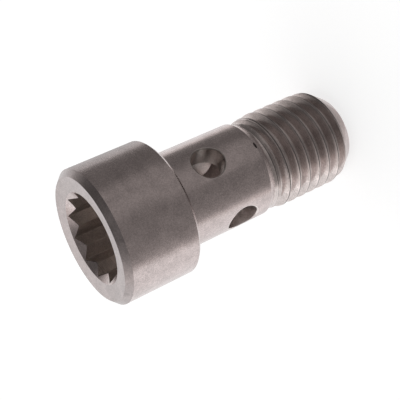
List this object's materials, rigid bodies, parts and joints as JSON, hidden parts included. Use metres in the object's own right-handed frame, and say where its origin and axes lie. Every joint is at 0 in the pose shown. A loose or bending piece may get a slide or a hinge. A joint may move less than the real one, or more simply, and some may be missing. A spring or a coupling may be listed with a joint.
{
  "type": "hollow banjo bolt",
  "caption": "Round-headed hollow steel bolt with a star drive socket, cross ports in its plain shank and a drilled passage, which clamps a ring fitting and feeds fluid through it.",
  "frame": {"origin": "centre of the ring at the threaded tip, on which the bolt stands", "axes": "+Z along the bolt's axis towards the face of the head, Y along the upper cross port, X along the lower cross port"},
  "size_m": [0.0166, 0.0166, 0.0346],
  "materials": {
    "steel": "satin turned steel, uncoated, with fine turning marks round the axis"
  },
  "bodies": {
    "root": {"banjo_bolt": "steel"}
  },
  "joints": []
}
